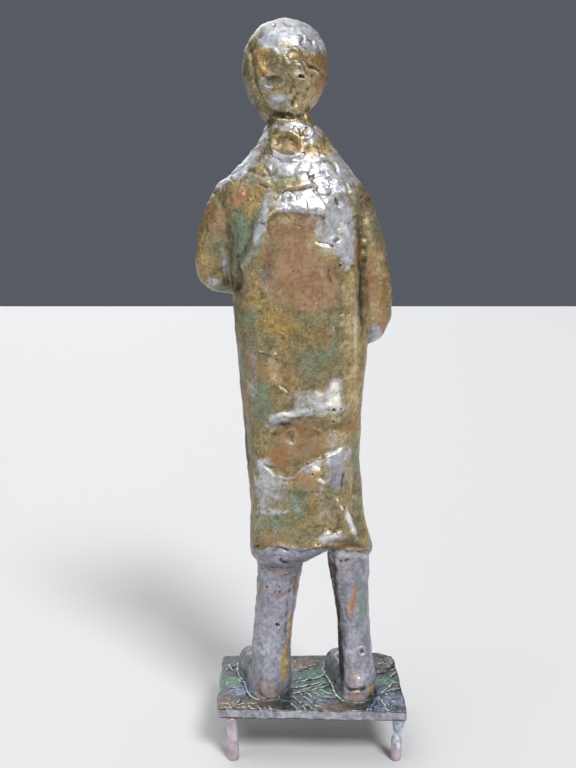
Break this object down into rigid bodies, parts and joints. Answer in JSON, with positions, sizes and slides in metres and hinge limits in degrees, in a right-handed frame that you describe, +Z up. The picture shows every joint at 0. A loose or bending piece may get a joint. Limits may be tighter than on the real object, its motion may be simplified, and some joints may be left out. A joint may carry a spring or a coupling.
{
  "type": "bronze statue",
  "caption": "Small cast bronze statue of a standing person in a long plain coat, hands folded at the waist, on a thin rectangular plate raised on short round rods.",
  "frame": {"origin": "on the ground, under the middle of the statue's bounding box", "axes": "+Z up. The figure faces +Y and its back is towards -Y. Its own right side is +X."},
  "size_m": [0.1102, 0.0668, 0.3797],
  "materials": {
    "figure_bronze": "cast bronze with a patchy golden brown, copper and grey-violet patina and traces of green",
    "plate_bronze": "rough cast bronze, dark brown and green with worn bright ridges",
    "rod_bronze": "dull round bar, grey-brown"
  },
  "bodies": {
    "root": {"figure": "figure_bronze", "base_plate": "plate_bronze", "stand_rod_back_left": "rod_bronze", "stand_rod_back_right": "rod_bronze", "stand_rod_front_left": "rod_bronze", "stand_rod_front_right": "rod_bronze"}
  },
  "joints": []
}
